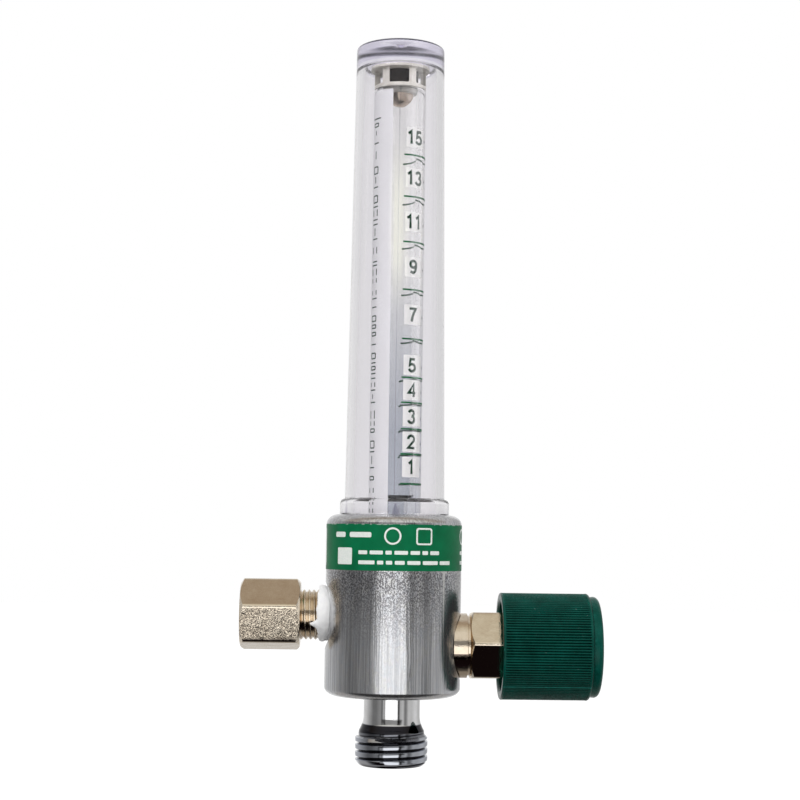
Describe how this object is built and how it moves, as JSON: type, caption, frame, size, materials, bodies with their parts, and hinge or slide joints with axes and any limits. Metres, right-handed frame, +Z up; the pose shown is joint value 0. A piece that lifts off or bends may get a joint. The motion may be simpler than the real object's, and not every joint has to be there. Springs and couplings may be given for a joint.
{
  "type": "medical flowmeter",
  "caption": "Medical oxygen flowmeter: a side needle valve with a ribbed knob sets the gas flow, and a ball rises in a clear tapered tube to show it.",
  "frame": {"origin": "centre of the inlet adapter's end face, where the gas supply's pipe fitting screws in", "axes": "+Z up along the flow tube; +X from the inlet through the body to the knob, along the inlet's axis; -Y is the side that faces the reader"},
  "size_m": [0.0703, 0.0268, 0.1428],
  "materials": {
    "satin_nickel": "turned brass, nickel plated, satin with fine vertical brush marks",
    "bright_nickel": "bright nickel plate, warm",
    "polished_chrome": "polished chrome plate",
    "brass": "machined brass",
    "steel": "smooth stainless steel",
    "sintered_bronze": "rough sintered disc",
    "green_plastic": "dark green moulded plastic, semi-matt",
    "green_label": "green printed film",
    "white_tape": "white thread-sealing tape",
    "cream_plastic": "cream moulded plastic",
    "clear_plastic": "clear moulded polycarbonate, faintly lavender",
    "black_rubber": "black O-ring rubber"
  },
  "bodies": {
    "body": {"valve_body": "satin_nickel", "body_label": "green_label", "inlet_adapter": "bright_nickel", "inlet_filter": "sintered_bronze", "thread_tape": "white_tape", "bonnet": "bright_nickel", "bonnet_seal": "black_rubber", "valve_seat": "brass", "outlet_nipple": "polished_chrome", "outlet_o_ring": "black_rubber", "outer_cover": "clear_plastic", "cover_o_ring": "black_rubber", "flow_tube": "clear_plastic", "flow_tube_o_ring": "black_rubber", "ball_stop": "cream_plastic"},
    "stem_seal": {"stem_o_ring": "black_rubber"},
    "valve": {"valve_stem": "brass", "knob": "green_plastic", "knob_cap": "green_plastic", "knob_washer": "steel", "knob_screw": "steel"},
    "float": {"float_ball": "steel"}
  },
  "joints": [
    {"name": "stem_travel", "type": "slide", "parent": "body", "child": "stem_seal", "axis": [1, 0, 0], "range_m": [0, 0.0012]},
    {"name": "knob_turn", "type": "hinge", "parent": "stem_seal", "child": "valve", "pos_m": [0.0299, 0, -0.0057], "axis": [1, 0, 0], "range_deg": [0, 540]},
    {"name": "float_rise", "type": "slide", "parent": "body", "child": "float", "axis": [0, 0, 1], "range_m": [-0.0799, 0]}
  ],
  "couplings": [
    {"joint": "stem_travel", "follows": "knob_turn", "m_per_rad": 0.00012637}
  ]
}
